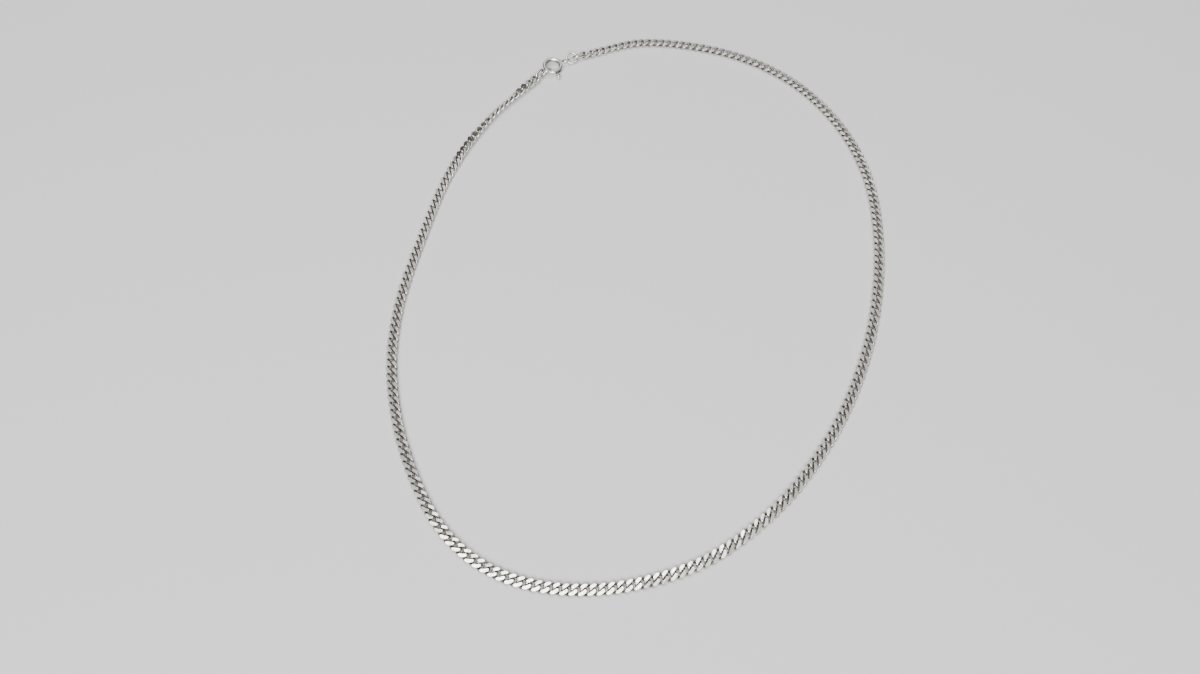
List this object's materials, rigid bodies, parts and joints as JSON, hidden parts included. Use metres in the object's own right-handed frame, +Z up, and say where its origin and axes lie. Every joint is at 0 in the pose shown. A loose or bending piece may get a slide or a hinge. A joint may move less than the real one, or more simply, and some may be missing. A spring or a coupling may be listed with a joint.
{
  "type": "curb chain necklace",
  "caption": "Flat curb chain of interlocking links in an open loop, closed by a spring ring clasp with a sliding thumb trigger.",
  "frame": {"origin": "on the floor under the middle of the lying loop's bounding box", "axes": "+Z up, +Y from the front of the loop towards the clasp's side, +X to the right as seen from the front"},
  "size_m": [0.1286, 0.1684, 0.0027],
  "materials": {
    "chain": "polished silver with light tarnish between the links",
    "end_links": "polished silver wire",
    "rings": "polished silver wire",
    "clasp": "bright polished silver"
  },
  "bodies": {
    "necklace": {"curb_chain": "chain", "left_end_link": "end_links", "right_end_link": "end_links", "end_ring": "rings", "jump_ring": "rings", "clasp_ring": "clasp"},
    "trigger": {"clasp_trigger": "clasp"}
  },
  "joints": [
    {"name": "trigger_slide", "type": "hinge", "parent": "necklace", "child": "trigger", "pos_m": [-0.0218, 0.07425, 0.00126], "axis": [0.0891, -0.0831, 0.9925], "range_deg": [0, 38], "stiffness_Nm_per_rad": 0.006, "springref_deg": -17.19}
  ]
}
